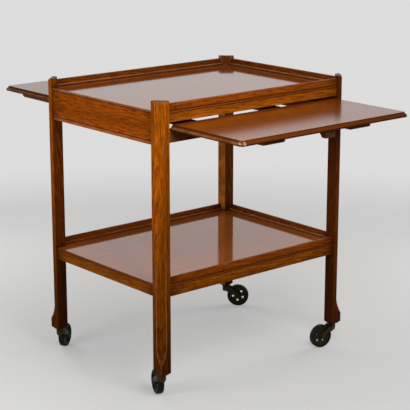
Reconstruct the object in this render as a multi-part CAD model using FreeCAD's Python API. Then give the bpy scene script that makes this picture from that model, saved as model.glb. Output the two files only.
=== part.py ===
import FreeCAD, Part
import math
import os

Vector = FreeCAD.Vector
os.makedirs("parts", exist_ok=True)

# A two-tier tea trolley with a draw leaf on each long side, shown with both leaves pulled out.
# X runs along the long side, from the open end (left) to the gallery end (right). Y runs across,
# from front to back. Z is up, and the origin is on the floor under the middle of the four legs.
# All sizes are in millimetres.

# Overall size
LENGTH = 635.0               # along X, over the outer faces of the legs
WIDTH = 482.6                # along Y, over the outer faces of the legs
HEIGHT = 758.0               # floor to the tops of the legs

# Legs
LEG = 32.0                   # square section
LEG_CHAMFER = 17.6           # chamfer on the outer arris, measured along each face
FOOT_BLOCK = 29.5            # full square foot below the chamfer
CHAMFER_STOP = 46.0          # height in which the chamfer runs out
STOP_ROUND = 5.0             # rounding where the hollow of the stop meets the arris
STOP_LAP = 0.2               # how far that rounding would run past the arris
FOOT_BEVEL = 7.0             # bevel round the bottom of the foot
LEG_TOP_ROUND = 8.0          # rounding of the outer edges at the top
SCOOP = 20.4                 # cut across the inner corner at the top, measured along each face
SCOOP_HEIGHT = 32.0          # height in which the scoop runs out
LEG_ARRIS = 0.8              # softened long edges

# Rails and aprons
RAIL_THICKNESS = 20.0
RAIL_RECESS = 5.0            # from the face of the leg to the face of the rail
RAIL_ARRIS = 1.0             # softened edges of rails, runners and battens
UPPER_RAIL_HEIGHT = 20.8
APRON_HEIGHT = 77.1
APRON_BEAD = 8.6             # height of the bead along the bottom of the apron
BEAD_QUIRK = 3.0             # depth and height of the groove above the bead
BEAD_LAND = 0.05             # flat left beside the rounding of a bead
SLIDE_RAIL_HEIGHT = 31.0     # the rails under the leaves
LOWER_RAIL_HEIGHT = 24.3
LOWER_RAIL_TOP = 291.6       # above the floor
TENON_THICKNESS = 8.0
TENON_SHOULDER = 4.0         # above and below the tenon
TENON_WALL = 3.0             # wood left in the leg between two mortises
MORTISE_GAP = 0.15           # glue line all round a tenon

# Trays
BOARD_THICKNESS = 7.0
BOARD_NOSE = 3.2             # rounding of the board's edge, seen as a bead between rail and gallery
BOARD_GAP = 0.3              # between the board's corner notches and the legs
GALLERY_HEIGHT = 19.0
GALLERY_THICKNESS = 8.0
GALLERY_BELOW_LEG = 7.0      # from the top of the leg down to the top of the gallery
GALLERY_HOUSING = 0.5        # depth that the gallery and its bead are let into the board
GALLERY_ROUND = 2.5          # rounded top edges
GALLERY_BEAD = 5.6           # quarter round bead along the foot of the inner face

# Leaves
LEAF_THICKNESS = 13.2
LEAF_BELOW_RAIL = 5.5        # from the bottom of the upper rail down to the top of the leaf
LEAF_END_GAP = 4.0           # between the end of the leaf and the leg
LEAF_PROUD = 17.0            # a closed leaf stands this far beyond the legs
LEAF_MEETING_GAP = 4.0       # between the two closed leaves
LEAF_CORNER = 11.0           # rounding of the outer corners, seen from above
LEAF_STEP = 2.5              # step from the flat top down to the moulded edge
LEAF_MARGIN = 7.2            # width of the moulded edge
LEAF_BEVEL = 6.2             # bevel of the moulded edge
LEAF_UNDERCUT = 3.0          # rounding under the moulded edge
SLIDE_GAP = 0.4              # running clearance at every sliding face

# Leaf bearers and what guides them
BEARER_WIDTH = 62.0
BEARER_THICKNESS = 17.5
BEARER_SETBACK = 33.5        # from the outer edge of the leaf to the end of the bearer
BEARER_BEVEL = 8.0           # length of the bevel under the outer end
BEARER_NOSE = 14.0           # upright left at the end of that bevel
BEARER_SIDE_GAP = 1.0        # each side of a bearer in its notch
PASSING_GAP = 6.0            # between the bearers of the two leaves
RUNNER_GAP = 20.0            # between the outer bearers and the runners
TAIL_THICKNESS = 5.8         # the inner part of a bearer, thinned to pass under the keepers
TAIL_CLEARANCE = 2.3         # from the tail of a closed leaf to the far slide rail
TAIL_LAP = 2.7               # an open leaf's tail reaches this far past its keeper
RUNNER_WIDTH = 28.0
RUNNER_HEIGHT = 27.5
KEEPER_WIDTH = 30.0
KEEPER_HOUSING = 15.0        # length of keeper let into each runner
STEP_CLEARANCE = 4.0         # from the step of a closed leaf's bearer to the keeper
GUIDE_BAR_HEIGHT = 9.5
GUIDE_TENON = 10.0           # length of the guide bar's stub tenon
GUIDE_SHOULDER = 2.0         # all round that tenon

# Finger pull under each leaf
PULL_WIDTH = 30.0
PULL_HEIGHT = 19.5
PULL_TOP_DEPTH = 42.0
PULL_FOOT_DEPTH = 16.0
PULL_SETBACK = 11.0          # from the outer edge of the leaf
PULL_OFFSET = 16.0           # to the right of the middle of the leaf, seen from outside

# Wood screws
SCREW_SHANK = 4.0
SCREW_HEAD = 8.4
SCREW_HEAD_HEIGHT = 3.0
SCREW_SLOT = 1.2             # width and depth of the slot in the head
SCREW_BITE = 9.0             # length in the piece that it holds
SCREW_GAP = 0.1              # round the screw in its hole
BEARER_SCREWS = 3
SCREW_END_MARGIN = 14.0      # from the end of a bearer's thick part to its outermost screws
RUNNER_SCREW_Y = 150.0
COUNTERBORE = 10.0
COUNTERBORE_DEPTH = 10.0

# Castors
WHEEL_DIAMETER = 63.5
TYRE_WIDTH = 17.0
TYRE_HEIGHT = 7.0
TYRE_SHOULDER = 3.2          # rounding of the tread
TYRE_SEAT_GAP = 0.05         # bond line between rim and tyre
RIM_WIDTH = 13.0
RIM_DEPTH = 4.2
WEB_THICKNESS = 4.6
HUB_DIAMETER = 15.0
HUB_ROUND = 1.0              # rounding of the hub's ends
WEB_FILLET = 1.5             # hollow where the web meets the hub and the rim
RIM_ROUND = 0.8
WHEEL_HOLES = 5
WHEEL_HOLE_DIAMETER = 7.0
HOLE_CIRCLE = 15.4           # radius of the circle that the holes lie on
AXLE_DIAMETER = 6.0
AXLE_FIT = 0.05              # radial clearance of the wheel on its axle
AXLE_HEAD = 10.0
AXLE_HEAD_HEIGHT = 2.4
ARM_THICKNESS = 3.0
ARM_EYE = 6.0                # radius of the arm's end round the axle
ARM_BULGE = 4.5              # rise of the arm's upper edge above a straight line
ARM_HOLLOW = 2.5             # the same for its lower edge
ARM_FLARE = 6.0              # from the swivel to where the arms are at their full spread
ARM_SIDE_GAP = 1.0           # between the tyre and the arm
HUB_SIDE_GAP = 0.3           # between the hub and the arm
TYRE_GAP = 1.2               # between the tread and the fork
BOSS_DIAMETER = 16.0
BOSS_ROUND = 2.5             # rounding of the boss's foot
NOSE_WIDTH = 12.0            # flat across the front of the crown
AXLE_TO_BOSS = 12.3          # from the axle up to the foot of the swivel boss
AXLE_TO_CROWN = 18.3         # from the axle up to the underside of the crown
AXLE_TO_FLANGE = 28.3        # from the axle up to the underside of the socket's flange
CROWN_ROUND = 5.0
STEM_DIAMETER = 8.0
STEM_LENGTH = 36.0
STEM_FIT = 0.05              # radial clearance of the stem in its socket
SOCKET_DIAMETER = 17.0       # flange
SOCKET_FLANGE = 2.0
SOCKET_TUBE = 12.0
SOCKET_END_GAP = 2.0         # above the stem, inside the socket

# Which way each castor trails, in degrees from +X, as the trolley was left standing
TRAIL_ANGLE = {
    "front_left": 69.0,
    "back_left": 35.0,
    "front_right": 170.0,
    "back_right": -47.0,
}
# How far each wheel has rolled round from a hole straight behind its axle, in degrees
WHEEL_TURN = {"front_left": 0.0, "back_left": 0.0, "front_right": 27.0, "back_right": -23.0}

# Sizes that follow from those above
HALF_LENGTH = LENGTH / 2
HALF_WIDTH = WIDTH / 2
LEG_INNER_X = HALF_LENGTH - LEG
LEG_INNER_Y = HALF_WIDTH - LEG
LEG_X = HALF_LENGTH - LEG / 2
LEG_Y = HALF_WIDTH - LEG / 2
END_FACE = HALF_LENGTH - RAIL_RECESS
SIDE_FACE = HALF_WIDTH - RAIL_RECESS
APRON_BACK = END_FACE - RAIL_THICKNESS
RAIL_BACK = SIDE_FACE - RAIL_THICKNESS
TENON_LENGTH = LEG - RAIL_RECESS - (RAIL_THICKNESS + TENON_THICKNESS) / 2 - TENON_WALL

UPPER_BOARD_TOP = HEIGHT - GALLERY_BELOW_LEG - GALLERY_HEIGHT + GALLERY_HOUSING
UPPER_RAIL_TOP = UPPER_BOARD_TOP - BOARD_THICKNESS
UPPER_RAIL_BOTTOM = UPPER_RAIL_TOP - UPPER_RAIL_HEIGHT
APRON_BOTTOM = UPPER_RAIL_TOP - APRON_HEIGHT
LOWER_RAIL_BOTTOM = LOWER_RAIL_TOP - LOWER_RAIL_HEIGHT
LOWER_BOARD_TOP = LOWER_RAIL_TOP + BOARD_THICKNESS

LEAF_TOP = UPPER_RAIL_BOTTOM - LEAF_BELOW_RAIL
LEAF_BOTTOM = LEAF_TOP - LEAF_THICKNESS
SLIDE_TOP = LEAF_BOTTOM - SLIDE_GAP
SLIDE_BOTTOM = SLIDE_TOP - SLIDE_RAIL_HEIGHT
RUNNER_BOTTOM = SLIDE_TOP - RUNNER_HEIGHT
RUNNER_SCREW_Z = (SLIDE_TOP + RUNNER_BOTTOM) / 2
LEAF_TRAVEL = SIDE_FACE
LEAF_END = LEG_INNER_X - LEAF_END_GAP
LEAF_OUTER = HALF_WIDTH + LEAF_PROUD + LEAF_TRAVEL
LEAF_INNER = LEAF_MEETING_GAP / 2 + LEAF_TRAVEL

BEARER_BOTTOM = LEAF_BOTTOM - BEARER_THICKNESS
NOTCH_FLOOR = BEARER_BOTTOM - SLIDE_GAP
TAIL_TOP = BEARER_BOTTOM + TAIL_THICKNESS
RUNNER_FACE = APRON_BACK - RUNNER_WIDTH
BACK_BEARER_X = RUNNER_FACE - RUNNER_GAP - BEARER_WIDTH / 2
FRONT_BEARER_X = BACK_BEARER_X - BEARER_WIDTH - PASSING_GAP
TAIL_END = LEAF_TRAVEL - RAIL_BACK + TAIL_CLEARANCE
KEEPER_NEAR = TAIL_END + TAIL_LAP
KEEPER_FAR = KEEPER_NEAR + KEEPER_WIDTH
BEARER_STEP = KEEPER_FAR + STEP_CLEARANCE + LEAF_TRAVEL
BEARER_END = LEAF_OUTER - BEARER_SETBACK
KEEPER_BOTTOM = TAIL_TOP + SLIDE_GAP

WHEEL_RADIUS = WHEEL_DIAMETER / 2
FLANGE_BOTTOM = WHEEL_RADIUS + AXLE_TO_FLANGE
FOOT_BOTTOM = FLANGE_BOTTOM + SOCKET_FLANGE
BOSS_RADIUS = BOSS_DIAMETER / 2
TRAIL = BOSS_RADIUS + math.sqrt((WHEEL_RADIUS + TYRE_GAP) ** 2 - AXLE_TO_BOSS ** 2)
CROWN_FRONT = TRAIL - math.sqrt((WHEEL_RADIUS + TYRE_GAP) ** 2 - AXLE_TO_CROWN ** 2)
ARM_INNER = TYRE_WIDTH / 2 + ARM_SIDE_GAP
ARM_OUTER = ARM_INNER + ARM_THICKNESS
SOCKET_TOP = FLANGE_BOTTOM + STEM_LENGTH + SOCKET_END_GAP

# How far each side of the trolley is turned from the front, which faces -Y
SIDE_TURN = {"front": 0.0, "right": 90.0, "back": 180.0, "left": -90.0}
# Where each leg stands
LEG_PLACE = {
    "front_left": (-LEG_X, -LEG_Y),
    "front_right": (LEG_X, -LEG_Y),
    "back_right": (LEG_X, LEG_Y),
    "back_left": (-LEG_X, LEG_Y),
}
# How far each leg is turned from the front left one, in degrees
LEG_TURN = {"front_left": 0.0, "front_right": 90.0, "back_right": 180.0, "back_left": -90.0}

mortises = []


def save(name, shape):
    """Write one piece, or one group of like pieces, under its own name."""
    shape.exportStep("parts/" + name + ".step")
    print(name, len(shape.Solids), round(shape.Volume))


def block(x0, x1, y0, y1, z0, z1):
    """Block between two opposite corners."""
    return Part.makeBox(x1 - x0, y1 - y0, z1 - z0, Vector(x0, y0, z0))


def turned(shape, degrees):
    """Copy of a shape turned about the vertical through the origin."""
    copy = shape.copy()
    copy.rotate(Vector(0, 0, 0), Vector(0, 0, 1), degrees)
    return copy


def unit(vector):
    """Vector of length one in the same direction."""
    return vector * (1.0 / vector.Length)


def outline(corners):
    """Closed wire through (point, radius) corners, each rounded to its own radius."""
    starts = []
    arcs = []
    for index, (corner, radius) in enumerate(corners):
        if radius <= 0:
            starts.append((corner, corner))
            arcs.append(None)
            continue
        back = unit(corners[index - 1][0] - corner)
        ahead = unit(corners[(index + 1) % len(corners)][0] - corner)
        half_angle = back.getAngle(ahead) / 2
        reach = radius / math.tan(half_angle)
        middle = unit(back + ahead)
        crown = corner + middle * (radius / math.sin(half_angle) - radius)
        starts.append((corner + back * reach, corner + ahead * reach))
        arcs.append(crown)
    edges = []
    for index, (enter, leave) in enumerate(starts):
        if arcs[index] is not None:
            edges.append(Part.Arc(enter, arcs[index], leave).toShape())
        following = starts[(index + 1) % len(starts)][0]
        if leave.distanceToPoint(following) > 1e-6:
            edges.append(Part.LineSegment(leave, following).toShape())
    return Part.Wire(edges)


def along_x(profile, x0, x1):
    """Bar from x0 to x1 with a profile of (y, z, corner radius) points."""
    corners = [(Vector(x0, y, z), radius) for y, z, radius in profile]
    return Part.Face(outline(corners)).extrude(Vector(x1 - x0, 0, 0))


def tenons(half_length, face, bottom, top, growth=0.0):
    """Tenons at both ends of a rail, or the mortises for them when grown by the glue line."""
    middle = -face + RAIL_THICKNESS / 2
    y0 = middle - TENON_THICKNESS / 2 - growth
    y1 = middle + TENON_THICKNESS / 2 + growth
    z0 = bottom + TENON_SHOULDER - growth
    z1 = top - TENON_SHOULDER + growth
    reach = half_length + TENON_LENGTH + growth
    return [block(-reach, -half_length, y0, y1, z0, z1), block(half_length, reach, y0, y1, z0, z1)]


def rail(name, side, profile, bottom, top, cuts=()):
    """Rail on one side of the trolley, tenoned into the two legs there."""
    lengthwise = side in ("front", "back")
    half_length = LEG_INNER_X if lengthwise else LEG_INNER_Y
    face = SIDE_FACE if lengthwise else END_FACE
    bar = along_x([(y - face, z, radius) for y, z, radius in profile], -half_length, half_length)
    bar = bar.multiFuse(tenons(half_length, face, bottom, top))
    for cut in cuts:
        bar = bar.cut(cut)
    for mortise in tenons(half_length, face, bottom, top, MORTISE_GAP):
        mortises.append(turned(mortise, SIDE_TURN[side]))
    save(name, turned(bar.removeSplitter(), SIDE_TURN[side]))


def plain_profile(bottom, top):
    """Section of a plain rail with softened edges."""
    return [
        (0, bottom, RAIL_ARRIS),
        (0, top, RAIL_ARRIS),
        (RAIL_THICKNESS, top, 0),
        (RAIL_THICKNESS, bottom, RAIL_ARRIS),
    ]


def apron_profile():
    """Section of a deep apron: a flat face over a quirk and a bead."""
    quirk_bottom = APRON_BOTTOM + APRON_BEAD
    bead_round = BEAD_QUIRK - BEAD_LAND
    return [
        (0, APRON_BOTTOM, bead_round),
        (0, quirk_bottom, bead_round),
        (BEAD_QUIRK, quirk_bottom, 0),
        (0, quirk_bottom + BEAD_QUIRK, 0),
        (0, UPPER_RAIL_TOP, RAIL_ARRIS),
        (RAIL_THICKNESS, UPPER_RAIL_TOP, 0),
        (RAIL_THICKNESS, APRON_BOTTOM, RAIL_ARRIS),
    ]


def gallery(name, side, seat):
    """Gallery strip standing on the edge of a tray, with a bead along the foot of its inner face."""
    lengthwise = side in ("front", "back")
    half_length = LEG_INNER_X if lengthwise else LEG_INNER_Y
    face = SIDE_FACE if lengthwise else END_FACE
    top = seat + GALLERY_HEIGHT
    bead_top = seat + GALLERY_HOUSING + GALLERY_BEAD
    inner = GALLERY_THICKNESS
    bead_face = inner + GALLERY_BEAD
    profile = [
        (0, seat, RAIL_ARRIS),
        (0, top, GALLERY_ROUND),
        (inner, top, GALLERY_ROUND),
        (inner, bead_top, 0),
        (bead_face, bead_top, GALLERY_BEAD - BEAD_LAND),
        (bead_face, seat, 0),
    ]
    strip = along_x([(y - face, z, radius) for y, z, radius in profile], -half_length, half_length)
    save(name, turned(strip, SIDE_TURN[side]))


def tray_board(name, bottom):
    """Thin board over the rails, notched round the legs, with a rounded edge and housings."""
    top = bottom + BOARD_THICKNESS
    notch_x = LEG_INNER_X - BOARD_GAP
    notch_y = LEG_INNER_Y - BOARD_GAP
    middle = block(-END_FACE, END_FACE, -notch_y, notch_y, bottom, top)
    across = block(-notch_x, notch_x, -SIDE_FACE, SIDE_FACE, bottom, top)
    board = middle.fuse(across).removeSplitter()
    nosed = []
    for edge in board.Edges:
        centre = edge.BoundBox.Center
        level = edge.BoundBox.ZLength < 1e-6
        on_end = abs(abs(centre.x) - END_FACE) < 1e-6
        on_side = abs(abs(centre.y) - SIDE_FACE) < 1e-6
        if level and (on_end or on_side):
            nosed.append(edge)
    board = board.makeFillet(BOARD_NOSE, nosed)
    seat = top - GALLERY_HOUSING
    side_back = SIDE_FACE - GALLERY_THICKNESS - GALLERY_BEAD
    end_back = END_FACE - GALLERY_THICKNESS - GALLERY_BEAD
    housings = [
        block(-LENGTH, LENGTH, -WIDTH, -side_back, seat, top),
        block(-LENGTH, LENGTH, side_back, WIDTH, seat, top),
        block(end_back, LENGTH, -WIDTH, WIDTH, seat, top),
    ]
    save(name, board.cut(Part.makeCompound(housings)))


def corner_cut(leg_run, stop, stop_height, end, ease=0.0):
    """Cutter for a stopped chamfer on the arris at the origin, along the diagonal towards +X+Y.

    The chamfer takes leg_run off each face. It is full depth from stop_height above the stop up to
    the end. Below that it runs out to the arris in a hollow sweep, tangent to the chamfer, and the
    sweep is eased over into the arris with a rounding of its own.
    """
    depth = leg_run / math.sqrt(2)
    full = stop + stop_height
    angle = 2 * math.atan(depth / stop_height)
    hollow = stop_height / math.sin(angle) - ease
    hollow_middle = Vector(depth - hollow * (1 - math.cos(angle / 2)), 0, full - hollow * math.sin(angle / 2))
    turning = Vector(depth - hollow * (1 - math.cos(angle)), 0, full - hollow * math.sin(angle))
    edges = [
        Part.LineSegment(Vector(depth, 0, end), Vector(depth, 0, full)).toShape(),
        Part.Arc(Vector(depth, 0, full), hollow_middle, turning).toShape(),
    ]
    if ease:
        ease_middle = Vector(ease * (1 - math.cos(angle / 2)), 0, stop + ease * math.sin(angle / 2))
        edges.append(Part.Arc(turning, ease_middle, Vector(0, 0, stop)).toShape())
    corners = [Vector(0, 0, stop), Vector(-LEG, 0, stop), Vector(-LEG, 0, end), Vector(depth, 0, end)]
    for first, second in zip(corners, corners[1:]):
        edges.append(Part.LineSegment(first, second).toShape())
    face = Part.Face(Part.Wire(edges))
    face.translate(Vector(0, -2 * LEG, 0))
    return turned(face.extrude(Vector(0, 4 * LEG, 0)), 45.0)


def leg_blank():
    """Leg about its own vertical axis, with its outer arris towards -X-Y."""
    half = LEG / 2
    leg = block(-half, half, -half, half, FOOT_BOTTOM, HEIGHT)
    foot_edges = [edge for edge in leg.Edges if abs(edge.BoundBox.ZMax - FOOT_BOTTOM) < 1e-6]
    leg = leg.makeChamfer(FOOT_BEVEL, foot_edges)
    section = [
        (Vector(-half, -half, FOOT_BOTTOM), 0),
        (Vector(half, -half, FOOT_BOTTOM), LEG_ARRIS),
        (Vector(half, half, FOOT_BOTTOM), LEG_ARRIS),
        (Vector(-half, half, FOOT_BOTTOM), LEG_ARRIS),
    ]
    leg = leg.common(Part.Face(outline(section)).extrude(Vector(0, 0, HEIGHT)))
    stop = FOOT_BOTTOM + FOOT_BLOCK
    chamfer = corner_cut(LEG_CHAMFER + 2 * STOP_LAP, stop, CHAMFER_STOP, HEIGHT + LEG, STOP_ROUND)
    chamfer.translate(Vector(-half - STOP_LAP, -half - STOP_LAP, 0))
    leg = leg.cut(chamfer)
    top_edges = []
    for edge in leg.Edges:
        centre = edge.BoundBox.Center
        if edge.BoundBox.ZLength < 1e-6 and abs(centre.z - HEIGHT) < 1e-6:
            if centre.x + centre.y < -LEG / 4:
                top_edges.append(edge)
    leg = leg.makeFillet(LEG_TOP_ROUND, top_edges)
    scoop = turned(corner_cut(SCOOP, HEIGHT - SCOOP_HEIGHT, SCOOP_HEIGHT, HEIGHT + LEG), 180.0)
    scoop.translate(Vector(half, half, 0))
    leg = leg.cut(scoop)
    bore = Part.makeCylinder(SOCKET_TUBE / 2 + MORTISE_GAP, SOCKET_TOP - FOOT_BOTTOM + MORTISE_GAP,
                             Vector(0, 0, FOOT_BOTTOM))
    return leg.cut(bore)


def make_legs():
    """The four legs, each mortised for the rails that meet it."""
    blank = leg_blank()
    cutters = Part.makeCompound(mortises)
    for corner, (x, y) in LEG_PLACE.items():
        leg = turned(blank, LEG_TURN[corner])
        leg.translate(Vector(x, y, 0))
        save(corner + "_leg", leg.cut(cutters))


def notch(x, width, floor):
    """Notch through a front slide rail, open at the top."""
    half = width / 2 + BEARER_SIDE_GAP
    return block(x - half, x + half, -SIDE_FACE - 1, -RAIL_BACK + 1, floor, SLIDE_TOP + 1)


def slide_rail(name, side, bearer_x):
    """Rail under a leaf. Its notches pass the leaf's two bearers and its pull."""
    pull_floor = LEAF_BOTTOM - PULL_HEIGHT - SLIDE_GAP
    cuts = [
        notch(-bearer_x, BEARER_WIDTH, NOTCH_FLOOR),
        notch(bearer_x, BEARER_WIDTH, NOTCH_FLOOR),
        notch(PULL_OFFSET, PULL_WIDTH, pull_floor),
    ]
    rail(name, side, plain_profile(SLIDE_BOTTOM, SLIDE_TOP), SLIDE_BOTTOM, SLIDE_TOP, cuts)


def screw(length, growth=0.0):
    """Slotted wood screw pointing up, its head flush with z = 0, or the hole for it when grown."""
    shank = Part.makeCylinder(SCREW_SHANK / 2 + growth, length + growth)
    head = Part.makeCone(SCREW_HEAD / 2 + growth, SCREW_SHANK / 2 + growth, SCREW_HEAD_HEIGHT)
    whole = shank.fuse(head).removeSplitter()
    if growth:
        return whole
    half = SCREW_SLOT / 2
    return whole.cut(block(-SCREW_HEAD, SCREW_HEAD, -half, half, -SCREW_SLOT, SCREW_SLOT))


def spread(first, last, count):
    """Evenly spaced places from first to last."""
    return [first + (last - first) * index / (count - 1) for index in range(count)]


def bearer_screws(bearer_x, growth=0.0):
    """Screws through both bearers of the front leaf, driven up into the leaf."""
    outer = BEARER_END - BEARER_BEVEL - SCREW_END_MARGIN
    inner = BEARER_STEP + SCREW_END_MARGIN
    screws = []
    for x in (-bearer_x, bearer_x):
        for y in spread(outer, inner, BEARER_SCREWS):
            one = screw(BEARER_THICKNESS + SCREW_BITE, growth)
            one.translate(Vector(x, -y, BEARER_BOTTOM))
            screws.append(one)
    return Part.makeCompound(screws)


def leaf_board():
    """Board of the front leaf, moulded along its outer edge and both ends."""
    slab_top = LEAF_TOP - LEAF_STEP
    plan = [
        (Vector(-LEAF_END, -LEAF_OUTER, LEAF_BOTTOM), LEAF_CORNER),
        (Vector(LEAF_END, -LEAF_OUTER, LEAF_BOTTOM), LEAF_CORNER),
        (Vector(LEAF_END, -LEAF_INNER, LEAF_BOTTOM), 0),
        (Vector(-LEAF_END, -LEAF_INNER, LEAF_BOTTOM), 0),
    ]
    slab = Part.Face(outline(plan)).extrude(Vector(0, 0, slab_top - LEAF_BOTTOM))
    upper = []
    lower = []
    for edge in slab.Edges:
        centre = edge.BoundBox.Center
        if edge.BoundBox.ZLength > 1e-6 or abs(centre.y + LEAF_INNER) < 1e-6:
            continue
        if abs(centre.z - slab_top) < 1e-6:
            upper.append(edge)
        else:
            lower.append(edge)
    slab = slab.makeChamfer(LEAF_BEVEL, upper)
    lower_centres = [edge.BoundBox.Center for edge in lower]
    lower = [edge for edge in slab.Edges
             if any(edge.BoundBox.Center.distanceToPoint(centre) < 1e-3 for centre in lower_centres)]
    slab = slab.makeFillet(LEAF_UNDERCUT, lower)
    field_end = LEAF_END - LEAF_MARGIN
    field_corner = LEAF_CORNER - LEAF_MARGIN
    field_plan = [
        (Vector(-field_end, -LEAF_OUTER + LEAF_MARGIN, slab_top), field_corner),
        (Vector(field_end, -LEAF_OUTER + LEAF_MARGIN, slab_top), field_corner),
        (Vector(field_end, -LEAF_INNER, slab_top), 0),
        (Vector(-field_end, -LEAF_INNER, slab_top), 0),
    ]
    field = Part.Face(outline(field_plan)).extrude(Vector(0, 0, LEAF_STEP))
    return slab.fuse(field).removeSplitter()


def bearer(x):
    """Bearer under the front leaf: thick under the leaf, thin where it runs on under the tray."""
    profile = [
        (-BEARER_END, LEAF_BOTTOM, 0),
        (-BEARER_END, LEAF_BOTTOM - BEARER_NOSE, 0),
        (-BEARER_END + BEARER_BEVEL, BEARER_BOTTOM, 0),
        (-TAIL_END, BEARER_BOTTOM, RAIL_ARRIS),
        (-TAIL_END, TAIL_TOP, RAIL_ARRIS),
        (-BEARER_STEP, TAIL_TOP, 0),
        (-BEARER_STEP, LEAF_BOTTOM, 0),
    ]
    return along_x(profile, x - BEARER_WIDTH / 2, x + BEARER_WIDTH / 2)


def pull():
    """Finger pull under the front leaf's outer edge, hollowed behind."""
    front = -LEAF_OUTER + PULL_SETBACK
    foot = LEAF_BOTTOM - PULL_HEIGHT
    x0 = PULL_OFFSET - PULL_WIDTH / 2
    back_top = Vector(x0, front + PULL_TOP_DEPTH, LEAF_BOTTOM)
    back_foot = Vector(x0, front + PULL_FOOT_DEPTH, foot)
    hollow = Vector(x0, (back_top.y + 2 * back_foot.y) / 3, foot + PULL_HEIGHT * 0.55)
    edges = [
        Part.LineSegment(Vector(x0, front, LEAF_BOTTOM), Vector(x0, front, foot)).toShape(),
        Part.LineSegment(Vector(x0, front, foot), back_foot).toShape(),
        Part.Arc(back_foot, hollow, back_top).toShape(),
        Part.LineSegment(back_top, Vector(x0, front, LEAF_BOTTOM)).toShape(),
    ]
    solid = Part.Face(Part.Wire(edges)).extrude(Vector(PULL_WIDTH, 0, 0))
    front_edges = [edge for edge in solid.Edges
                   if abs(edge.BoundBox.Center.y - front) < 1e-6 and edge.BoundBox.ZLength > 1e-6]
    foot_edge = [edge for edge in solid.Edges
                 if abs(edge.BoundBox.Center.y - front) < 1e-6 and abs(edge.BoundBox.ZMax - foot) < 1e-6]
    return solid.makeFillet(RAIL_ARRIS * 2, front_edges + foot_edge)


def make_leaf(side, bearer_x):
    """One leaf with its bearers, pull and screws, pulled right out."""
    turn = SIDE_TURN[side]
    holes = bearer_screws(bearer_x, SCREW_GAP)
    save(side + "_leaf_board", turned(leaf_board().cut(holes), turn))
    for hand, sign in (("left", -1), ("right", 1)):
        world_hand = hand if side == "front" else {"left": "right", "right": "left"}[hand]
        piece = bearer(sign * bearer_x).cut(holes)
        save(side + "_leaf_" + world_hand + "_bearer", turned(piece, turn))
    save(side + "_leaf_pull", turned(pull(), turn))
    save(side + "_leaf_screws", turned(bearer_screws(bearer_x), turn))


def runner_screws(growth=0.0):
    """Screws through the right-hand runner into the apron, in counterbored holes."""
    length = RUNNER_WIDTH - COUNTERBORE_DEPTH + SCREW_BITE
    screws = []
    for y in (-RUNNER_SCREW_Y, 0, RUNNER_SCREW_Y):
        one = screw(length, growth)
        one.rotate(Vector(0, 0, 0), Vector(0, 1, 0), 90)
        one.translate(Vector(RUNNER_FACE + COUNTERBORE_DEPTH, y, RUNNER_SCREW_Z))
        screws.append(one)
    return screws


def keeper(y0, y1):
    """Keeper batten over the tails of the bearers, let into both runners."""
    reach = RUNNER_FACE + KEEPER_HOUSING
    return block(-reach, reach, y0, y1, KEEPER_BOTTOM, SLIDE_TOP)


def guide_bar(y0, y1, growth=0.0):
    """Bar under the tails of the bearers, stub tenoned into both runners."""
    bottom = NOTCH_FLOOR - GUIDE_BAR_HEIGHT
    bar = block(-RUNNER_FACE, RUNNER_FACE, y0, y1, bottom, NOTCH_FLOOR)
    reach = RUNNER_FACE + GUIDE_TENON + growth
    tongue = block(-reach, reach, y0 + GUIDE_SHOULDER - growth, y1 - GUIDE_SHOULDER + growth,
                   bottom + GUIDE_SHOULDER - growth, NOTCH_FLOOR - GUIDE_SHOULDER + growth)
    if growth:
        return tongue
    return bar.fuse(tongue).removeSplitter()


def make_guides():
    """Runners along the aprons, and the guide bars and keepers that span between them."""
    spans = {"front": (-KEEPER_FAR, -KEEPER_NEAR), "back": (KEEPER_NEAR, KEEPER_FAR)}
    runner = block(RUNNER_FACE, APRON_BACK, -LEG_INNER_Y, LEG_INNER_Y, RUNNER_BOTTOM, SLIDE_TOP)
    long_edges = [edge for edge in runner.Edges
                  if edge.BoundBox.YLength > LEG_INNER_Y and edge.BoundBox.Center.x < APRON_BACK - 1e-6]
    runner = runner.makeFillet(RAIL_ARRIS, long_edges)
    for y0, y1 in spans.values():
        housing = block(-LENGTH, RUNNER_FACE + KEEPER_HOUSING + MORTISE_GAP, y0 - MORTISE_GAP,
                        y1 + MORTISE_GAP, KEEPER_BOTTOM, SLIDE_TOP + 1)
        runner = runner.cut(housing).cut(guide_bar(y0, y1, MORTISE_GAP))
    for hole in runner_screws(SCREW_GAP):
        runner = runner.cut(hole)
    for y in (-RUNNER_SCREW_Y, 0, RUNNER_SCREW_Y):
        well = Part.makeCylinder(COUNTERBORE / 2, COUNTERBORE_DEPTH,
                                 Vector(RUNNER_FACE, y, RUNNER_SCREW_Z), Vector(1, 0, 0))
        runner = runner.cut(well)
    save("right_runner", runner)
    save("left_runner", turned(runner, 180.0))
    for side, (y0, y1) in spans.items():
        save(side + "_keeper", keeper(y0, y1))
        save(side + "_guide_bar", guide_bar(y0, y1))
    screws = runner_screws()
    save("runner_screws", Part.makeCompound(screws + [turned(one, 180.0) for one in screws]))


def ring(profile):
    """Solid of revolution about the wheel's axis, local Y, from (radius, y, corner radius) points."""
    corners = [(Vector(radius, y, 0), rounding) for radius, y, rounding in profile]
    return Part.Face(outline(corners)).revolve(Vector(0, 0, 0), Vector(0, 1, 0), 360)


def cross_pin(radius, y0, y1):
    """Cylinder along the wheel's axis."""
    return Part.makeCylinder(radius, y1 - y0, Vector(0, y0, 0), Vector(0, 1, 0))


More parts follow.
